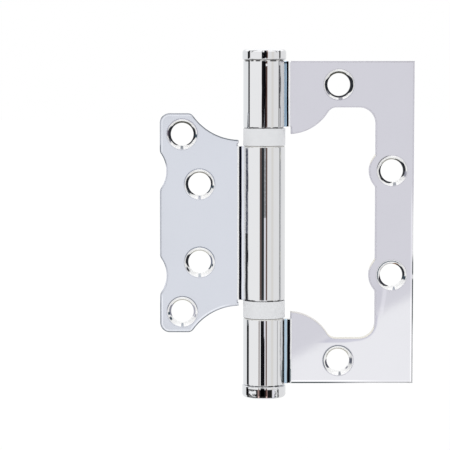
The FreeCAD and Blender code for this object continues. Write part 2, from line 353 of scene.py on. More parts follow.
def turned(bm, outline):
    """A solid of revolution about the pin's axis, from the (radius, height) corners of its section."""
    pen = Pen(bm, *outline[0])
    for radius, height in outline[1:]:
        pen.line(radius, height)
    bmesh.ops.spin(
        bm, geom=bm.verts[:] + bm.edges[:], cent=(0, 0, 0), axis=(0, 0, 1), dvec=(0, 0, 0),
        angle=2 * math.pi, steps=TURN_STEPS, use_merge=True,
    )
    bmesh.ops.remove_doubles(bm, verts=bm.verts[:], dist=FIT)
    bmesh.ops.recalc_face_normals(bm, faces=bm.faces[:])


def rims_at(bm, radius, height):
    """Every edge of the circle of this radius at this height."""
    def on(vert):
        return abs(vert.co.z - height) < FIT and abs(vert.co.xy.length - radius) < FIT
    return [edge for edge in bm.edges if all(on(vert) for vert in edge.verts)]


# Shader maths


def operator(operation, reflected=False):
    """A method of Value that adds a Math node for two numbers."""
    def add_node(self, other):
        return self.math(operation, other, self) if reflected else self.math(operation, self, other)
    return add_node


class Value:
    """A number or colour from a node, which can be used in expressions."""

    def __init__(self, graph, socket):
        self.graph = graph
        self.socket = socket

    def math(self, operation, *operands):
        """A Math node's result."""
        return self.graph.node("ShaderNodeMath", {"operation": operation}, dict(enumerate(operands)))

    __add__ = operator("ADD")
    __radd__ = operator("ADD", reflected=True)
    __sub__ = operator("SUBTRACT")
    __rsub__ = operator("SUBTRACT", reflected=True)
    __mul__ = operator("MULTIPLY")
    __rmul__ = operator("MULTIPLY", reflected=True)
    __truediv__ = operator("DIVIDE")
    __rtruediv__ = operator("DIVIDE", reflected=True)
    __pow__ = operator("POWER")
    __rpow__ = operator("POWER", reflected=True)
    least = operator("MINIMUM")
    most = operator("MAXIMUM")

    def __neg__(self):
        return 0 - self

    def __abs__(self):
        return self.math("ABSOLUTE", self)

    def bearing(self, ahead):
        """The turn in degrees towards a point this far aside and that far ahead."""
        return self.math("ARCTAN2", self, ahead) * math.degrees(1)

    def above(self, low, high, unit=1.0):
        """0 below the first mark and 1 above the second, with a soft step between them."""
        values = {0: self, 1: low * unit, 2: high * unit}
        return self.graph.node("ShaderNodeMapRange", {"interpolation_type": "SMOOTHSTEP"}, values)

    def below(self, low, high, unit=1.0):
        """1 below the first mark and 0 above the second."""
        return 1 - self.above(low, high, unit)

    def within(self, low, high, soft, unit=1.0):
        """1 between two marks and 0 outside them."""
        low, high, soft = low * unit, high * unit, soft * unit
        return self.above(low - soft, low + soft) * self.below(high - soft, high + soft)


class Graph:
    """The node tree of one material, or of the world."""

    def __init__(self, owner):
        owner.use_nodes = True
        self.tree = owner.node_tree
        self.tree.nodes.clear()

    def node(self, kind, settings=None, values=None, output=0):
        """Adds a node: its settings first, then the values or links of its sockets."""
        made = self.tree.nodes.new(kind)
        for key, setting in (settings or {}).items():
            setattr(made, key, setting)
        for key, value in (values or {}).items():
            if isinstance(value, Value):
                self.tree.links.new(value.socket, made.inputs[key])
            else:
                made.inputs[key].default_value = value
        return Value(self, made.outputs[output]) if made.outputs else made

    def place(self, output="Object"):
        """Coordinates of the point, as one vector and as three numbers."""
        coordinates = self.node("ShaderNodeTexCoord", output=output)
        split = self.node("ShaderNodeSeparateXYZ", values={0: coordinates}).socket.node
        return coordinates, [Value(self, socket) for socket in split.outputs]

    def mix(self, share, first, second):
        """A colour between two, by a share from 0 to 1."""
        colours = {0: share}
        for index, colour in ((6, first), (7, second)):
            colours[index] = colour if isinstance(colour, Value) else (*colour, 1)
        return self.node("ShaderNodeMix", {"data_type": "RGBA", "clamp_factor": True}, colours, output=2)

    def uneven(self, share, colour, darkest):
        """A colour that darkens a little, by a share from 0 to 1."""
        return self.mix(share, colour, [channel * darkest for channel in colour])

    def noise(self, vector, scale, detail=2.0, rough=0.5):
        """Even noise from 0 to 1."""
        values = {"Vector": vector, "Scale": scale, "Detail": detail, "Roughness": rough}
        return self.node("ShaderNodeTexNoise", {"noise_dimensions": "3D"}, values)

    def bump(self, height, distance, strength=1.0):
        """A normal for a fine relief."""
        values = {"Strength": strength, "Distance": distance, "Height": height}
        return self.node("ShaderNodeBump", values=values)

    def principled(self, values, normal):
        """Ends a material in one Principled shader."""
        shader = self.node("ShaderNodeBsdfPrincipled", values={**values, "Normal": normal})
        self.node("ShaderNodeOutputMaterial", values={"Surface": shader})


def new_graph(name):
    """A material of this name and its empty node tree."""
    material = bpy.data.materials.new(name)
    return material, Graph(material)


# Materials

# Tones, most of them for reflections, highlights and shade painted on the chrome; WHITE, BLACK and BROWN also tone
# the studio's walls and curtains
WHITE = (1.0, 1.0, 1.0)
PALE = (0.78, 0.79, 0.81)
BLACK = (0.008, 0.008, 0.010)
BROWN = (0.15, 0.09, 0.075)
UMBER = (0.2, 0.13, 0.11)
ROSE = (0.62, 0.46, 0.44)
SLATE = (0.16, 0.19, 0.20)
DEEP_TEAL = (0.06, 0.12, 0.15)
# The lilac that the flat leaves mirror, painted as a reflection on their rounded edges and round the holes
FRAME_PLAIN = (0.64, 0.63, 0.70)
DOOR_PLAIN = (0.66, 0.68, 0.76)
# Painted reflection of the rim round the window, and a painted light strip beyond it
RIM_GREY = (0.60, 0.60, 0.665)
RIM_LIGHT = (0.90, 0.90, 0.915)
# Painted highlights, sheen and dark reflections on the leaves' rounded edges
EDGE_LIGHT = (0.93, 0.93, 0.95)
EDGE_SHINE = (0.92, 0.92, 0.94)
WINDOW_EDGE = (0.88, 0.85, 0.77)
FRAME_EDGE_DARK = (0.02, 0.04, 0.045)
DOOR_EDGE_DARK = (0.035, 0.06, 0.08)
# Painted light on the knuckles' upward-facing ends
KNUCKLE_TOP_LIGHT = (0.72, 0.71, 0.68)
# Broken lines of painted shade at the knuckles' ends
KNUCKLE_END_SHADE = (0.02, 0.02, 0.025)
# Painted shade at the foot of the upper cap
CAP_FOOT_SHADE = (0.03, 0.03, 0.035)
# Dark band of painted reflection on the lower cap
CAP_REFLECTED_BAND = (0.016, 0.014, 0.014)

# How far a surface has to lean before it counts as facing up or down
SLOPE = (0.15, 0.4)


def hole_marks(graph, tone, matt, place, look, plain):
    """Paints one screw hole's reflections and shade: a matt white cone, a rim in the leaf's lilac, crescents round
    its throat, spots on its cone, lines near its lip and a dark streak below. Turns are in degrees from the top,
    to the right; distances are outwards from its throat, in millimetres."""
    sideways, upwards, coordinates = place
    gap = ((sideways ** 2 + upwards ** 2) ** 0.5 - HOLE_RADIUS) / MM
    turn = sideways.bearing(upwards)
    uneven = graph.noise(coordinates, 900, 1) - 0.5
    # The cone is painted matt white and the rim round it the leaf's lilac, as painted reflections
    cone = gap.below(1.12, 1.2)
    rim = gap.within(1.2, 1.42, 0.05)
    tone = graph.mix(rim, graph.mix(cone, tone, WHITE), plain)
    white = (cone * 0.65).most(rim * 0.85)
    matt = white if matt is None else matt.most(white)
    # Dark and light crescents, spots and lip lines: painted reflections and shade
    for start, end, taper, widest, colour in look["crescents"]:
        width = (turn + uneven * 12).within(start, end, taper) * widest
        line = (gap - width - uneven * 0.12).below(0.02, 0.12) * width.above(0, 0.12)
        tone = graph.mix(line, tone, colour)
    for middle, half, near, far, colour in look["spots"]:
        spot = turn.within(middle - half, middle + half, half * 0.5) * gap.within(near, far, 0.1)
        tone = graph.mix(spot, tone, colour)
    for start, end, middle, width, colour in look["lips"]:
        line = turn.within(start, end, 14) * gap.within(middle - width / 2, middle + width / 2, 0.06)
        tone = graph.mix(line, tone, colour)
    # A dark streak below the hole, a painted reflection
    shift, narrow, wide, near, colour = look["reflected_streak"]
    beside = abs(sideways / MM - shift) - gap * ((wide - narrow) * MM / COUNTERSINK)
    mark = beside.below(narrow - 0.08, narrow + 0.08) * (-upwards).above(0, 0.5, MM)
    mark = mark * gap.within(near, 1.2, 0.06) * (0.75 + 0.5 * uneven)
    return graph.mix(mark, tone, colour), matt, gap


def rounded_distance(out, height, reach, top, corner):
    """How far a point lies outside a rounded rectangle about the middle."""
    past_side = (out - (reach - corner)).most(0)
    past_top = (height - (top - corner)).most(0)
    return (past_side ** 2 + past_top ** 2) ** 0.5 - corner


def window_distance(out, z):
    """How far a point lies outside the window, leaving its bulges and wings aside."""
    return rounded_distance(out, abs(z), WINDOW_REACH, WINDOW_TOP, WINDOW_CORNER)


def beside_edge(depth):
    """Where a painted highlight line lies on the flat, just inside the rounding of an edge."""
    return depth.within(EDGE_ROUND, EDGE_ROUND + 0.4 * MM, 0.08 * MM)


def frame_edges(graph, tone, spot, slant, ways):
    """The large leaf's edges: the reflections, highlights and shade painted on them, the painted highlight line
    inside them and how far they lose their shine.
    A slant is the lean from the flat, where there is any, and where no hole or knuckle is; the ways are down,
    up and level."""
    coordinates, out, _, z = spot
    lean, tilt, clear = slant
    down, up, level = ways
    fleck = graph.noise(coordinates, 150, 2).above(0.35, 0.65)
    window = window_distance(out, z).below(1.5, 2.5, MM)
    low = z.below(-12.5, -9, MM) * (1 - z.within(-17.4, -16, 0.4, MM) * 0.8)
    fading = 1 - out.above(16, 36, MM) * 0.9
    # Dark painted reflection and shade along the edges
    dark = down * fading + level * low * (0.75 + 0.25 * fleck) * (0.6 + 0.4 * z.above(-36, -28, MM))
    dark = dark + up * 0.12
    rim = lean.above(0.006, 0.03) * clear * (1 - window)
    # A painted highlight on the level edges, and painted sheen on those facing down away from the window
    tone = graph.mix(rim * level * z.below(-2, 14, MM), tone, EDGE_LIGHT)
    shiny = down * (1 - window) * out.above(18, 32, MM)
    tone = graph.mix(tilt * shiny, tone, EDGE_SHINE)
    # A painted dark line along the bottom edge
    foot = (LEAF_TOP + z).below(EDGE_ROUND, EDGE_ROUND + 0.1 * MM) * clear * fading
    tone = graph.mix((rim * dark).most(foot * 0.9), tone, FRAME_EDGE_DARK)
    # A painted highlight on the window's upward-facing edge
    sill = lean.above(0.03, 0.12) * clear * window * up * (0.6 + 0.4 * out.above(17, 20, MM))
    tone = graph.mix(sill, tone, WINDOW_EDGE)
    # Painted highlight lines just inside the bottom and right edges
    bottom = (LEAF_TOP + z).within(EDGE_ROUND + 0.12 * MM, EDGE_ROUND + 0.55 * MM, 0.06 * MM)
    bottom = bottom * (1 - out.above(26, 38, MM) * 0.8)
    right = beside_edge(FRAME_REACH - out) * z.below(2, 14, MM) * 0.9
    return tone, bottom.most(right) * out.above(8.2, 8.4, MM), tilt * (1 - shiny * 0.85)


def door_edges(graph, tone, spot, slant, ways):
    """The small leaf's edges, in the same way: dark reflections and shade painted on them and painted highlight
    lines inside them.
    """
    _, out, _, z = spot
    lean, tilt, clear = slant
    down, up, level = ways
    height = abs(z)
    shoulder = height.below(DOOR_TOP - 1.2 * MM, DOOR_TOP - 0.6 * MM)
    far = out.above(26, 28, MM)
    left = out.above(DOOR_REACH - 0.9 * MM, DOOR_REACH - 0.5 * MM) * (0.4 + 0.35 * z.below(-26, -22, MM))
    left = left.most(far * z.within(18, 24.5, 1, MM) * 0.9)
    left = left.most(far * z.within(-14, -9, 1.5, MM) * 0.6)
    notch = out.above(27.5, 29.5, MM) * height.below(22, 24, MM)
    # Dark painted reflection and shade on the edges
    dark = (level * left).most(down * (1 - notch) * (0.4 + 0.6 * out.above(9, 20, MM)))
    dark = dark.most(up * (1 - notch) * (0.55 + 0.35 * shoulder)).most(notch * left)
    tone = graph.mix(lean.above(0.03, 0.12) * clear * dark, tone, DOOR_EDGE_DARK)
    # Painted highlight lines inside the corners and along the shoulder's curve
    corner = beside_edge(-rounded_distance(out, height, DOOR_REACH, DOOR_TOP, DOOR_CORNER))
    corner = corner * (z.below(-24, -21, MM) + z.above(20, 23, MM) * 0.7)
    arc = ((out - SHOULDER_CENTRE[0]) ** 2 + (z + SHOULDER_CENTRE[1]) ** 2) ** 0.5 - SHOULDER_RADIUS
    curve = beside_edge(arc) * out.above(9, 14, MM) * z.below(-20, -18, MM)
    return tone, corner.most(curve), tilt


def rim_shade(graph, tone, out, x, z):
    """A painted reflection: the grey rim of the large leaf round its window, with a painted light strip beyond it
    at the lower right.
    """
    beyond = window_distance(out, z) / MM - (
        1.5 - out.above(24, 32, MM) * 0.75 + z.above(-32, -20, MM) * 1.5
    )
    lit = (z - x * 0.49).below(-35.4, -33.4, MM)
    aside = out.above(30, 33, MM) * z.below(-22, -16, MM)
    shade = beyond.within(-4, 0, 0.3) * (lit * 0.9).most(aside * 0.25)
    tone = graph.mix(shade, tone, RIM_GREY)
    strip = beyond.within(0.3, 1.4, 0.3) * out.above(32, 35, MM) * z.within(-28, -17, 1.5, MM)
    return graph.mix(strip * 0.8, tone, RIM_LIGHT)


def crease_lines(graph, tone, matt, spot, creases):
    """Lines of painted shade, painted reflections and painted highlights along the necks and knuckles. A crease is
    a span in height and its lines: from, to and softness, in millimetres from the pin, and tone. White and pale
    lines are matt."""
    coordinates, out, y, z = spot
    in_front = y.below(-SHEET + 0.05 * MM, -SHEET + 0.15 * MM)
    wander = (graph.noise(coordinates, 170, 2) - 0.5) * (0.22 * MM)
    grain = 0.78 + 0.22 * graph.noise(coordinates, 1500, 2).above(0.35, 0.6)
    for low, high, lines in creases:
        span = z.within(low, high, 0.12 * MM) * in_front
        for near, far, soft, colour in lines:
            line = (out + wander).within(near, far, soft, MM) * span
            if colour in (WHITE, PALE):
                matt = matt.most(line)
            elif sum(colour) > 0.1:
                line = line * grain
            tone = graph.mix(line, tone, colour)
    return tone, matt


def end_lines(graph, tone, coordinates, across, z, on_barrel, ends):
    """Broken lines of painted shade at the ends of knuckles, where they meet the rings and caps. An end is a
    height
    and its parts: from and to, in millimetres to the right of the pin, and strength."""
    uneven = (graph.noise(coordinates, 700, 2) - 0.5) * 0.5
    across = across / MM + uneven
    for end, parts in ends:
        line = (z + uneven * (0.12 * MM)).within(end - 0.1 * MM, end + 0.34 * MM, 0.06 * MM) * on_barrel
        for near, far, share in parts:
            tone = graph.mix(line * across.within(near, far, 0.12) * share, tone, KNUCKLE_END_SHADE)
    return tone


def leaf_chrome(name, side, places, looks, creases, ends, finish):
    """Bright chrome on pressed sheet, with reflections, highlights and shade painted at the holes, edges, creases
    and knuckle ends.
    """
    material, graph = new_graph(name)
    coordinates, (x, y, z) = graph.place()
    facing = graph.place("Normal")[1]
    out = (x - PIN.x) * side
    cloud = graph.noise(coordinates, 90, 3)
    tone = bare = graph.uneven(cloud, finish.chrome, 0.97)
    if side > 0:
        tone = rim_shade(graph, tone, out, x, z)
    matt = nearest = None
    plain = FRAME_PLAIN if side > 0 else DOOR_PLAIN
    for (hole_x, hole_z), look in zip(places, looks):
        place = (x - PIN.x - side * hole_x, z - hole_z, coordinates)
        tone, matt, gap = hole_marks(graph, tone, matt, place, look, plain)
        nearest = gap if nearest is None else nearest.least(gap)
    clear = out.above(8, 8.3, MM) * nearest.above(1.5, 1.65)
    lean = 1 - abs(facing[1])
    tilt = lean.above(0.0006, 0.006) * clear
    down = (-facing[2]).above(*SLOPE)
    up = facing[2].above(*SLOPE)
    # Rounded edges take the leaf's lilac as a painted reflection
    tone = graph.mix(tilt, tone, plain)
    spot = (coordinates, out, y, z)
    shade_edges = frame_edges if side > 0 else door_edges
    tone, white, dull = shade_edges(graph, tone, spot, (lean, tilt, clear), (down, up, (1 - down) * (1 - up)))
    # Painted highlight lines just inside the edges
    tone = graph.mix(white * clear * lean.below(0.02, 0.06), tone, WHITE)
    front = y.below(-0.5, -0.3, MM)
    tone = graph.mix(front, bare, tone)
    matt = matt.most(dull * 0.92) * front
    tone, matt = crease_lines(graph, tone, matt, spot, creases)
    on_barrel = out.below(BARREL_RADIUS - 0.3 * MM, BARREL_RADIUS) * y.below(-4, -3, MM)
    # The knuckles' upward-facing ends get painted light, matt and pale
    tops = up * on_barrel
    matt = matt.most(tops * 0.8)
    tone = graph.mix(tops, tone, KNUCKLE_TOP_LIGHT)
    tone = end_lines(graph, tone, coordinates, x - PIN.x, z, on_barrel, ends)
    values = {"Base Color": tone, "Metallic": 1 - matt, "Roughness": 0.022 + cloud * 0.012 + matt * 0.4}
    graph.principled(values, graph.bump(graph.noise(coordinates, 500), 0.0006 * MM))
    return material


def cap_chrome(name, side, finish):
    """Bright chrome on turned steel, with fine rings left by the lathe. The upper cap has painted shade at its
    foot and thin dark lines of painted reflection, and the lower one a dark band of painted reflection with
    lighter painted bars and specks."""
    material, graph = new_graph(name)
    coordinates, (x, y, z) = graph.place()
    across = x - PIN.x
    radius = (across ** 2 + (y - PIN.y) ** 2) ** 0.5
    rings = radius.math("SINE", radius * 22000)
    cloud = graph.noise(coordinates, 120, 3)
    tone = graph.uneven(cloud, finish.chrome, 0.96)
    rise = abs(z) - BARREL_TOP
    in_front = y.below(PIN.y - 1.0 * MM, PIN.y)
    if side > 0:
        broken = graph.noise(coordinates, 300, 1).above(0.38, 0.5)
        # Painted shade where the upper cap meets the knuckle
        tone = graph.mix(rise.below(0, 0.1, MM) * (0.2 + 0.3 * broken) * in_front, tone, CAP_FOOT_SHADE)
        # Thin dark lines of painted reflection on the upper cap's wall
        wall = rise.within(0.5, 2.75, 0.1, MM) * in_front
        soft = 0.08
        lines = ((-4.9, -4.5, BLACK), (-0.25, 0.55, BLACK), (0.6, 0.9, (0.3, 0.2, 0.17)), (4.4, 4.8, BLACK))
    else:
        # A dark band of painted reflection on the lower cap, with lighter painted bars, specks and lines
        wall = rise.within(0.8, 3.4, 0.12, MM) * in_front * across.within(-5.35, 4.4, 0.1, MM)
        tone = graph.mix(wall, tone, CAP_REFLECTED_BAND)
        left = across.within(-4.8, -2.6, 0.15, MM) * rise.within(1.1, 3.1, 0.2, MM)
        right = across.within(3, 4.2, 0.15, MM)
        specks = graph.noise(coordinates, 1100, 3, 0.65).above(0.40, 0.56)
        tone = graph.mix(specks * left.most(right) * wall, tone, (0.85, 0.86, 0.88))
        soft = 0.1
        lines = ((-2.05, -1.6, ROSE), (0.4, 0.85, ROSE), (2.35, 3.1, (0.82, 0.83, 0.90)))
    for near, far, colour in lines:
        tone = graph.mix(across.within(near, far, soft, MM) * wall, tone, colour)
    values = {"Base Color": tone, "Metallic": 1, "Roughness": 0.04 + cloud * 0.02}
    graph.principled(values, graph.bump(graph.noise(coordinates, 420) + rings * 0.04, 0.0006 * MM))
    return material


def nylon(name, colour, rough):
    """Moulded nylon: matt, with a very fine grain and a little unevenness of tone."""
    material, graph = new_graph(name)
    coordinates, _ = graph.place()
    cloud = graph.noise(coordinates, 240, 3)
    values = {"Base Color": graph.uneven(cloud, colour, 0.96), "Roughness": rough + cloud * 0.08}
    graph.principled(values, graph.bump(graph.noise(coordinates, 5200, 2), 0.02 * MM, 0.5))
    return material


def ground_steel(finish):
    """Ground steel of the pin, races and balls: fine scratches round the pin's axis and a film of oil."""
    material, graph = new_graph("bright_steel")
    stretched = graph.node(
        "ShaderNodeVectorMath", {"operation": "MULTIPLY"}, {0: graph.place()[0], 1: (300, 300, 9000)}
    )
    lines = graph.noise(stretched, 1, 3)
    tone = graph.uneven(lines, finish.steel, 0.8)
    values = {"Base Color": tone, "Metallic": 1, "Roughness": 0.18 + lines * 0.15}
    graph.principled(values, graph.bump(lines, 0.002 * MM, 0.4))
    return material


# What a user can change


def tint(name, description, default):
    """A colour setting."""
    return bpy.props.FloatVectorProperty(
        name=name, description=description, default=default, size=3, min=0.0, max=1.0, subtype="COLOR"
    )


def length(name, description, default):
    """A length setting."""
    return bpy.props.FloatProperty(name=name, description=description, default=default, unit="LENGTH")


class HingeFinish(bpy.types.PropertyGroup):
    """Colours of the hinge."""
    chrome: tint("Chrome", "Tone of the chrome plate", (0.80, 0.805, 0.82))
    # The neck's cool band is a painted reflection and its darkest line is painted shade
    neck_reflection_tint: tint("Neck tint", "Cool tone in the hollow of the neck", (0.36, 0.58, 0.80))
    crease: tint("Neck crease", "Tone of the deepest part of the neck", (0.004, 0.004, 0.006))
    steel: tint("Steel", "Tone of the pin, races and balls", (0.62, 0.62, 0.63))
    ring: tint("Bearing ring", "Tone of the white nylon rings", (0.82, 0.83, 0.85))
    cage: tint("Ball cage", "Tone of the nylon ball cages", (0.80, 0.78, 0.72))


class HingeSizes(bpy.types.PropertyGroup):
    """Sizes of the finer forms."""
    cap_rim: length("Cap rim", "Rounding of the outer rim of the caps", 1.0 * MM)
    cap_bevel: length("Cap bevel", "Bevel where a cap meets the barrel", 0.3 * MM)
    ring_round: length("Ring edge", "Rounding of the bearing rings' edges", 0.12 * MM)


class HingeStudio(bpy.types.PropertyGroup):
    """The stage round the hinge."""
    distance: length("Camera distance", "From the camera to the leaves", 0.6)
    width: length("Picture width", "Width of the picture at the leaves", 0.1392)
    height: length("Camera height", "Above the middle of the hinge", 0.0427)
    floor_drop: length("Floor", "How far the floor lies below the hinge", 0.025)


# The studio: half the floor's width, how far left of the pin the camera stands and aims, how far below the
# middle it aims, and its sensor's width in millimetres
FLOOR_HALF = 6.0
STAND_LEFT = 18.4 * MM
AIM_LEFT = 12.14 * MM
AIM_DROP = 0.55 * MM
SENSOR = 36.0

# Dark curtains that stripe the barrel, by height: lowest, highest and the strips: from, to, softness, tone
CURTAINS = (
    (-1.55, 24, (
        (-100, -88.5, 1, BLACK), (-15.5, 2.3, 0.8, BLACK), (6.4, 15.5, 1.2, BROWN),
        (83.5, 89, 1.2, (0.04, 0.04, 0.045)),
    )),
    (-6.6, -1.55, (
        (-26, -14, 1.5, (0.15, 0.11, 0.10)), (-15.5, -1.5, 1.5, (0.03, 0.035, 0.04)),
        (7.6, 15.5, 1.2, BROWN), (90, 95, 2, (0.4, 0.4, 0.41)),
    )),
    (-60, -6.6, (
        (-111, -94, 1.5, BLACK), (-31, -26, 1, BROWN), (-20, 2.3, 0.8, BLACK),
        (7, 14.5, 1.2, BROWN), (76, 79.5, 1.5, (0.25, 0.25, 0.26)),
    )),
)

# Curtains above and below eye level
FAR_CURTAINS = (
    (-103, -90, 2, BLACK), (-76, -68, 2, (0.10, 0.10, 0.11)),
    (-17, -10, 3, (0.5, 0.5, 0.52)), (65, 71, 2, (0.12, 0.12, 0.13)),
    (83.5, 90, 1.5, (0.04, 0.04, 0.045)),
)


# Painted reflections and shade at the screw holes, in the order of hole_places. Crescents: from, to, taper,
# widest,
# tone. Spots: middle, half width, nearest, farthest, tone. Lips: from, to, distance, width, tone. The dark streak
# below, a painted reflection: shift, narrow, wide, nearest, tone.
INK = (0.01, 0.013, 0.02)
TEAL = (0.03, 0.06, 0.09)
SMOKE = (0.1, 0.1, 0.08)
OLIVE = (0.56, 0.55, 0.48)
GREY = (0.28, 0.28, 0.34)
FRAME_HOLES = (
    {
        "crescents": ((-75, 62, 15, 0.32, OLIVE), (-128, -90, 10, 0.5, (0.05, 0.05, 0.08))),
        "spots": ((93, 14, 0.1, 0.95, (0.14, 0.15, 0.2)), (130, 8, 0.0, 0.35, GREY)),
        "lips": ((-128, 68, 1.1, 0.26, (0.06, 0.1, 0.13)),),
        "reflected_streak": (0.55, 0.22, 0.45, 0.15, (0.13, 0.15, 0.19)),
    },
    {
        "crescents": (
            (-220, 220, 1, 0.36, INK), (118, 240, 10, 0.46, INK), (-240, -118, 10, 0.46, INK),
            (-50, 42, 14, 0.52, SMOKE), (-135, -60, 18, 0.82, INK), (48, 132, 22, 0.88, INK),
        ),
        "spots": ((-127, 10, 0.45, 1.0, (0.2, 0.2, 0.24)),),
        "lips": (
            (-90, 90, 1.3, 0.12, (0.5, 0.5, 0.56)), (115, 200, 1.28, 0.15, (0.4, 0.4, 0.48)),
            (-200, -118, 1.28, 0.15, (0.4, 0.4, 0.48)),
        ),
        "reflected_streak": (0.48, 0.5, 0.7, 0.35, (0.15, 0.15, 0.19)),
    },
    {
        "crescents": (
            (-65, 20, 15, 0.2, (0.48, 0.46, 0.46)), (12, 45, 12, 0.4, (0.22, 0.11, 0.04)),
            (35, 103, 18, 0.55, INK), (-155, -98, 14, 0.6, (0.02, 0.02, 0.03)),
        ),
        "spots": ((102, 8, 0.2, 1.0, TEAL), (-122, 9, 0.55, 0.85, (0.1, 0.1, 0.13))),
        "lips": ((-115, 35, 0.86, 0.32, (0.13, 0.17, 0.22)),),
        "reflected_streak": (0.78, 0.12, 0.48, 0.2, (0.22, 0.26, 0.33)),
    },
    {
        "crescents": (
            (-60, 15, 12, 0.34, (0.45, 0.44, 0.4)), (12, 50, 12, 0.38, SMOKE), (40, 112, 20, 0.68, INK),
            (-172, -70, 22, 0.55, INK),
        ),
        "spots": ((104, 12, 0.5, 1.1, (0.35, 0.35, 0.42)), (-128, 8, 0.4, 0.8, INK)),
        "lips": ((-80, -15, 1.2, 0.22, (0.06, 0.06, 0.08)),),
        "reflected_streak": (0.8, 0.35, 0.6, 0.2, (0.22, 0.24, 0.29)),
    },
)
DOOR_HOLES = (
    {
        "crescents": (
            (-60, 60, 15, 0.28, OLIVE), (-108, -55, 15, 0.58, (0.3, 0.3, 0.36)),
            (55, 108, 14, 0.5, (0.5, 0.5, 0.57)),
        ),
        "spots": (
            (-98, 6, 0.35, 1.0, TEAL), (-121, 7, 0.35, 1.0, TEAL), (108, 7, 0.5, 1.0, (0.45, 0.46, 0.54)),
        ),
        "lips": ((-82, 80, 1.2, 0.22, (0.15, 0.17, 0.22)),),
        "reflected_streak": (0.0, 0.28, 0.45, 0.1, (0.3, 0.34, 0.4)),
    },
    {
        "crescents": (
            (-152, 152, 12, 0.34, INK), (-48, 50, 12, 0.5, SMOKE), (-125, -48, 20, 0.8, INK),
            (52, 118, 20, 0.68, INK),
        ),
        "spots": (
            (97, 7, 0.5, 1.15, TEAL), (-85, 12, 0.6, 1.1, (0.08, 0.06, 0.09)),
            (-118, 8, 0.6, 1.0, (0.25, 0.25, 0.3)),
        ),
        "lips": ((-90, 95, 1.22, 0.16, (0.34, 0.34, 0.44)),),
        "reflected_streak": (-0.1, 0.4, 0.45, 0.1, (0.14, 0.17, 0.21)),
    },
    {
        "crescents": (
            (-55, 58, 14, 0.25, OLIVE), (-106, -50, 14, 0.78, INK), (58, 106, 14, 0.45, (0.2, 0.22, 0.29)),
            (100, 128, 8, 0.3, TEAL),
        ),
        "spots": ((-122, 10, 0.5, 1.05, INK), (104, 6, 0.4, 0.75, TEAL)),
        "lips": ((-78, 78, 1.2, 0.22, (0.15, 0.19, 0.27)),),
        "reflected_streak": (0.0, 0.3, 0.45, 0.1, (0.3, 0.35, 0.42)),
    },
    {
        "crescents": (
            (-50, 52, 12, 0.32, (0.3, 0.29, 0.25)), (-140, -48, 22, 0.7, INK), (52, 110, 16, 0.5, INK),
            (100, 138, 8, 0.28, TEAL),
        ),
        "spots": ((102, 6, 0.4, 1.0, TEAL), (-128, 10, 0.75, 0.95, (0.1, 0.16, 0.22))),
        "lips": ((-92, 92, 1.2, 0.18, (0.26, 0.3, 0.4)),),
        "reflected_streak": (0.0, 0.35, 0.42, 0.1, (0.3, 0.32, 0.4)),
    },
)


# Operators


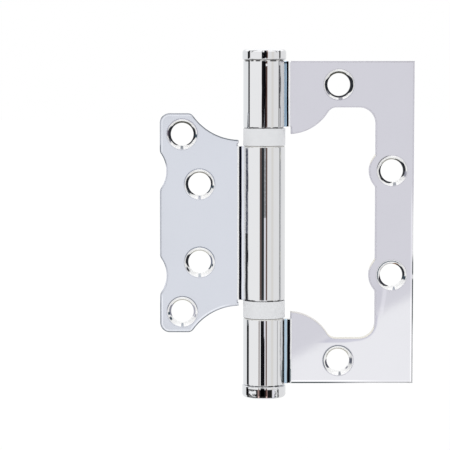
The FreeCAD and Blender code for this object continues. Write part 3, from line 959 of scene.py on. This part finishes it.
class HINGE_OT_frame_leaf(bpy.types.Operator):
    """Large leaf with its window, countersunk holes and two rolled knuckles"""
    bl_idname = "hinge.frame_leaf"
    bl_label = "Frame leaf"

    def execute(self, context):
        places = hole_places(["frame_outer_screws", "frame_inner_screws"])
        neck_low = FRAME_KNUCKLE_END + NECK_RELIEF
        relief_z = neck_low - WING_SETBACK
        bm = bmesh.new()
        pen = Pen(bm, WINDOW_REACH, 0)
        nesting_line(
            pen, WINDOW_REACH, WINDOW_TOP, WINDOW_CORNER, (places[-1], BULGE_RADIUS), BULGE_BLEND,
            (WING_CENTRE, WING_RADIUS), WING_BLEND, BEND_X + WING_SETBACK,
        )
        pen.line(BEND_X + WING_SETBACK, relief_z)
        pen.arc((BEND_X, relief_z), (BEND_X, neck_low))
        pen.line(BEND_X, LEAF_TOP)
        pen.line(FRAME_REACH, LEAF_TOP)
        pen.line(FRAME_REACH, 0)
        mirrored_plate(bm)
        necks = [(neck_low, LEAF_TOP), (-LEAF_TOP, -neck_low)]
        round_outline(bm, necks)
        pierce(bm, places)
        roll_knuckle(bm, necks[0], (FRAME_KNUCKLE_END, BARREL_TOP))
        roll_knuckle(bm, necks[1], (-BARREL_TOP, -FRAME_KNUCKLE_END))
        finish = context.scene.hinge_finish
        # Lines of painted shade, painted reflections and painted highlights along the necks and knuckles
        creases = (
            (neck_low, LEAF_TOP, (
                (6.02, 6.5, 0.1, (0.50, 0.68, 0.85)), (6.45, 6.82, 0.1, finish.neck_reflection_tint),
                (6.82, 7.45, 0.05, finish.crease), (7.46, 7.95, 0.05, WHITE),
            )),
            (LEAF_TOP - 0.75 * MM, LEAF_TOP - 0.3 * MM, ((6.0, 7.0, 0.06, finish.crease),)),
            (FRAME_KNUCKLE_END, LEAF_TOP - 0.2 * MM, (
                (-0.15, 0.3, 0.05, finish.crease), (0.3, 0.5, 0.05, UMBER), (-1.0, -0.84, 0.05, UMBER),
            )),
            (LEAF_TOP - 1.6 * MM, LEAF_TOP - 0.9 * MM, ((0.3, 0.7, 0.2, WHITE),)),
            (35.5 * MM, 48.6 * MM, ((4.42, 4.78, 0.08, (0.10, 0.10, 0.11)),)),
            (29.8 * MM, 36.0 * MM, ((4.68, 4.86, 0.07, (0.25, 0.25, 0.26)),)),
            (-LEAF_TOP, -neck_low, (
                (5.65, 6.17, 0.08, (0.03, 0.02, 0.02)), (6.25, 7.1, 0.1, (0.38, 0.55, 0.70)),
                (6.5, 6.85, 0.15, (0.62, 0.80, 0.94)), (7.15, 8.1, 0.06, finish.crease),
                (8.15, 8.5, 0.06, WHITE),
            )),
            (-LEAF_TOP + 0.6 * MM, -42.5 * MM, ((5.45, 5.7, 0.12, SLATE), (8.1, 8.22, 0.07, DEEP_TEAL))),
            (-LEAF_TOP + 0.6 * MM, -45.5 * MM, ((5.3, 5.7, 0.12, SLATE), (8.1, 8.35, 0.07, DEEP_TEAL))),
        )
        # Broken lines of painted shade at the knuckles' ends
        ends = (
            (BARREL_TOP - 0.48 * MM, (
                (-5.9, -4.6, 0.85), (-4.4, -3.5, 0.8), (-2.8, -1.4, 0.9), (-0.6, 0.4, 0.6), (1.6, 3.4, 0.9),
                (4.5, 6.3, 0.85),
            )),
            (FRAME_KNUCKLE_END, (
                (-4.7, -1.9, 0.85), (-0.9, 0.3, 1.0), (0.4, 1.7, 0.7), (2.5, 4.1, 0.95), (4.5, 5.9, 0.6),
            )),
            (-BARREL_TOP, ((-5.4, -4.7, 1.0), (-2.9, 0.9, 0.65), (1.0, 2.6, 0.95), (3.4, 4.4, 0.9))),
        )
        material = leaf_chrome("chromed_frame_leaf", 1, places, FRAME_HOLES, creases, ends, finish)
        finished(bm, "Frame_leaf", material, "frame_side", ["frame_leaf"], flat_axis=1)
        return {"FINISHED"}


class HINGE_OT_door_leaf(bpy.types.Operator):
    """Small leaf in the shape of the window, with the long middle knuckle"""
    bl_idname = "hinge.door_leaf"
    bl_label = "Door leaf"

    def execute(self, context):
        places = hole_places(["door_outer_screws", "door_inner_screws"])
        frame_inner = hole_places(["frame_inner_screws"])[-1]
        neck = (-DOOR_KNUCKLE_END, DOOR_KNUCKLE_END)
        relief = (BEND_X, DOOR_KNUCKLE_END + DOOR_RELIEF)
        bm = bmesh.new()
        pen = Pen(bm, DOOR_REACH, 0)
        nesting_line(
            pen, DOOR_REACH, DOOR_TOP, DOOR_CORNER, (frame_inner, BULGE_RADIUS + SIDE_GAP), NOTCH_BLEND,
            (SHOULDER_CENTRE, SHOULDER_RADIUS), SHOULDER_BLEND, BEND_X,
        )
        pen.line(BEND_X, relief[1] + DOOR_RELIEF)
        pen.arc(relief, (BEND_X + DOOR_RELIEF, relief[1]))
        pen.arc(relief, (BEND_X, DOOR_KNUCKLE_END))
        pen.line(BEND_X, 0)
        mirrored_plate(bm)
        round_outline(bm, [neck])
        pierce(bm, places)
        roll_knuckle(bm, neck, neck)
        bmesh.ops.scale(bm, verts=bm.verts[:], vec=(-1, 1, 1))
        finish = context.scene.hinge_finish
        # Lines of painted shade, painted reflections and painted highlights along the neck and knuckle
        creases = (
            (neck[0], neck[1], (
                (6.35, 6.95, 0.12, (0.76, 0.79, 0.88)), (7.0, 7.8, 0.06, (0.004, 0.004, 0.012)),
                (7.86, 8.3, 0.06, WHITE),
            )),
            (neck[0] + 0.2 * MM, neck[1] - 0.3 * MM, (
                (5.9, 6.3, 0.08, PALE), (-5.05, -4.5, 0.14, (0.52, 0.53, 0.53)),
            )),
            (-4.0 * MM, neck[1] - 0.65 * MM, ((5.12, 5.8, 0.12, (0.05, 0.055, 0.09)),)),
            (2.0 * MM, neck[1] - 0.2 * MM, ((-0.42, 0.28, 0.08, (0.30, 0.31, 0.31)),)),
            (neck[0] + 0.2 * MM, -3.0 * MM, ((5.12, 5.85, 0.1, (0.012, 0.012, 0.018)),)),
        )
        # Broken lines of painted shade at the knuckle's end
        ends = ((neck[0], ((-6.2, -2.9, 1.0), (0.8, 2.6, 1.0), (4.0, 4.8, 0.9))),)
        material = leaf_chrome("chromed_door_leaf", -1, places, DOOR_HOLES, creases, ends, finish)
        finished(bm, "Door_leaf", material, "door_side", ["door_leaf"], flat_axis=1)
        return {"FINISHED"}


class HINGE_OT_caps(bpy.types.Operator):
    """Turned caps that close the barrel"""
    bl_idname = "hinge.caps"
    bl_label = "Caps"

    def execute(self, context):
        sizes = context.scene.hinge_sizes
        stem_radius = (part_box("hinge_pin")[1].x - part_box("hinge_pin")[0].x) / 2
        for node, side in (("top_cap", 1), ("bottom_cap", -1)):
            low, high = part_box(node)
            radius = (high.x - low.x) / 2
            outer = max(abs(low.z), abs(high.z))
            stem = min(abs(low.z), abs(high.z))
            bm = bmesh.new()
            turned(bm, [
                (0, stem), (stem_radius, stem), (stem_radius, BARREL_TOP), (radius, BARREL_TOP),
                (radius, outer), (0, outer),
            ])
            rims = ((BARREL_TOP, sizes.cap_bevel, 2), (outer, sizes.cap_rim, 8))
            for height, rounding, steps in rims:
                rounded(bm, rims_at(bm, radius, height), rounding, steps)
            bmesh.ops.scale(bm, verts=bm.verts[:], vec=(1, 1, side))
            material = cap_chrome("chromed_" + node, side, context.scene.hinge_finish)
            finished(bm, node.capitalize(), material, "frame_side", [node])
        return {"FINISHED"}


class HINGE_OT_bearings(bpy.types.Operator):
    """White rings of the two ball bearings, and the finish of what turns inside them"""
    bl_idname = "hinge.bearings"
    bl_label = "Bearings"

    def execute(self, context):
        finish = context.scene.hinge_finish
        rounding = context.scene.hinge_sizes.ring_round
        white = nylon("white_nylon", finish.ring, 0.5)
        natural = nylon("cage_nylon", finish.cage, 0.45)
        steel = ground_steel(finish)
        for which in ("upper", "lower"):
            node = which + "_bearing_sleeve"
            low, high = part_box(node)
            outer = (high.x - low.x) / 2
            inner = outer - RING_WALL
            bm = bmesh.new()
            turned(bm, [(inner, low.z), (outer, low.z), (outer, high.z), (inner, high.z), (inner, low.z)])
            rounded(bm, rims_at(bm, outer, low.z) + rims_at(bm, outer, high.z), rounding)
            finished(bm, node.capitalize(), white, "frame_side", [node])
            self.dress(which + "_bearing_ball_cage", natural)
            for piece in ("upper_race", "lower_race", "balls"):
                self.dress(which + "_bearing_" + piece, steel)
        self.dress("hinge_pin", steel)
        return {"FINISHED"}

    @staticmethod
    def dress(node, material):
        """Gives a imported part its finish."""
        piece = frame["nodes"][node]
        piece.data.materials.clear()
        piece.data.materials.append(material)


class HINGE_OT_stage(bpy.types.Operator):
    """Pale floor, soft white studio and the camera"""
    bl_idname = "hinge.stage"
    bl_label = "Stage"

    def execute(self, context):
        studio = context.scene.hinge_studio
        self.add_floor(studio)
        self.add_world(context.scene)
        self.add_camera(context.scene, studio)
        context.scene.view_settings.view_transform = "Standard"
        return {"FINISHED"}

    @staticmethod
    def add_floor(studio):
        """A pale floor that keeps the soft shadow of the hinge."""
        bm = bmesh.new()
        place = Matrix.Translation((0, 0, CAD_BOX[0].z - studio.floor_drop))
        bmesh.ops.create_grid(bm, x_segments=1, y_segments=1, size=FLOOR_HALF, matrix=place)
        mesh = bpy.data.meshes.new("Floor")
        bm.to_mesh(mesh)
        bm.free()
        floor = bpy.data.objects.new("Floor", mesh)
        bpy.context.scene.collection.objects.link(floor)
        floor.visible_glossy = False
        material, graph = new_graph("pale_floor")
        sees = graph.node("ShaderNodeLightPath", output="Is Camera Ray")
        matt = graph.node("ShaderNodeBsdfDiffuse", values={"Color": (0.95, 0.95, 0.95, 1)})
        glow = graph.node("ShaderNodeEmission", values={"Color": (1, 1, 1, 1), "Strength": 1.1})
        both = graph.node("ShaderNodeMixShader", values={0: sees * 0.6, 1: matt, 2: glow})
        graph.node("ShaderNodeOutputMaterial", values={"Surface": both})
        mesh.materials.append(material)

    @staticmethod
    def add_world(scene):
        """Even light on matt surfaces, white walls and dark curtains in the chrome, white to the camera."""
        world = bpy.data.worlds.new("Studio")
        scene.world = world
        graph = Graph(world)
        _, (x, y, z) = graph.place("Generated")
        turn = x.bearing(-y)
        rise = z.math("ARCSINE", z) * math.degrees(1)
        walls = graph.mix(turn.above(-15, 25), WHITE, (0.90, 0.90, 0.90))
        walls = graph.mix(turn.within(38, 50, 7), walls, (0.82, 0.80, 0.76))
        walls = graph.mix((-turn).above(92, 100), walls, (0.93, 0.945, 0.95))
        walls = graph.mix(rise.above(18, 35), walls, (1.3, 1.3, 1.3))
        walls = graph.mix((-rise).above(62, 72), walls, (1.25, 1.25, 1.25))
        at_eye = rise.within(-10.9, 2.9, 1)
        for start, end, soft, tone in FAR_CURTAINS:
            walls = graph.mix(turn.within(start, end, soft) * (1 - at_eye), walls, tone)
        for low, high, strips in CURTAINS:
            tall = rise.within(low, high, 0.12) * at_eye
            for start, end, soft, tone in strips:
                walls = graph.mix(turn.within(start, end, soft) * tall, walls, tone)
        # A narrow lilac panel in front of the curtains, cut away at its upper and lower left
        panel = turn.within(-1.5, 6.5, 0.15) * rise.within(-13, 24, 1.5)
        left = turn.within(-3, 2.2, 0.1)
        panel = panel * (1 - left * rise.above(-0.8, -0.7) * rise.below(20, 24))
        panel = panel * (1 - left * rise.below(-7.45, -7.35))
        lilac = graph.mix(turn.above(1, 2.5), (0.86, 0.885, 0.95), (0.81, 0.80, 0.86))
        bright = (z - x * 0.5225).below(-0.1669, -0.1609) * turn.above(2.2, 2.5) * rise.above(-10.5, -10)
        lilac = graph.mix(bright, lilac, (1.035, 1.03, 1.06))
        walls = graph.mix(panel, walls, lilac)
        even = graph.mix(0.5 + x * 0.5, (1.04, 1.04, 1.04), (0.86, 0.86, 0.86))
        light = graph.mix(graph.node("ShaderNodeLightPath", output="Is Glossy Ray"), even, walls)
        light = graph.mix(graph.node("ShaderNodeLightPath", output="Is Camera Ray"), light, WHITE)
        background = graph.node("ShaderNodeBackground", values={"Color": light})
        graph.node("ShaderNodeOutputWorld", values={"Surface": background})

    @staticmethod
    def add_camera(scene, studio):
        """The camera stands a little above the middle of the hinge and looks slightly down at it."""
        data = bpy.data.cameras.new("Camera")
        camera = bpy.data.objects.new("Camera", data)
        scene.collection.objects.link(camera)
        aim = Vector((PIN.x - AIM_LEFT, PIN.y - HALF_SHEET, -AIM_DROP))
        camera.location = (PIN.x - STAND_LEFT, -studio.distance, studio.height)
        camera.rotation_euler = (aim - camera.location).to_track_quat("-Z", "Y").to_euler()
        far = (aim - camera.location).length
        data.sensor_width = SENSOR
        data.lens = data.sensor_width * far / studio.width
        data.clip_start = 0.01
        data.clip_end = 20.0
        scene.camera = camera


class HINGE_PT_build(bpy.types.Panel):
    """Lists the steps that dress the hinge"""
    bl_idname = "HINGE_PT_build"
    bl_label = "Surface mount hinge"
    bl_space_type = "VIEW_3D"
    bl_region_type = "UI"
    bl_category = "Hinge"

    def draw(self, context):
        for step in STEPS:
            self.layout.operator(step.bl_idname)


STEPS = (HINGE_OT_frame_leaf, HINGE_OT_door_leaf, HINGE_OT_caps, HINGE_OT_bearings, HINGE_OT_stage)
GROUPS = (("hinge_finish", HingeFinish), ("hinge_sizes", HingeSizes), ("hinge_studio", HingeStudio))


def register():
    """Adds the hinge's settings, steps and panel."""
    for name, group in GROUPS:
        bpy.utils.register_class(group)
        setattr(bpy.types.Scene, name, bpy.props.PointerProperty(type=group))
    for step in STEPS + (HINGE_PT_build,):
        bpy.utils.register_class(step)


def unregister():
    """Removes them again."""
    for step in reversed(STEPS + (HINGE_PT_build,)):
        bpy.utils.unregister_class(step)
    for name, group in reversed(GROUPS):
        delattr(bpy.types.Scene, name)
        bpy.utils.unregister_class(group)


def main():
    """Builds the looks."""
    register()
    bpy.ops.hinge.frame_leaf()
    bpy.ops.hinge.door_leaf()
    bpy.ops.hinge.caps()
    bpy.ops.hinge.bearings()
    bpy.ops.hinge.stage()


if __name__ == "__main__":
    main()
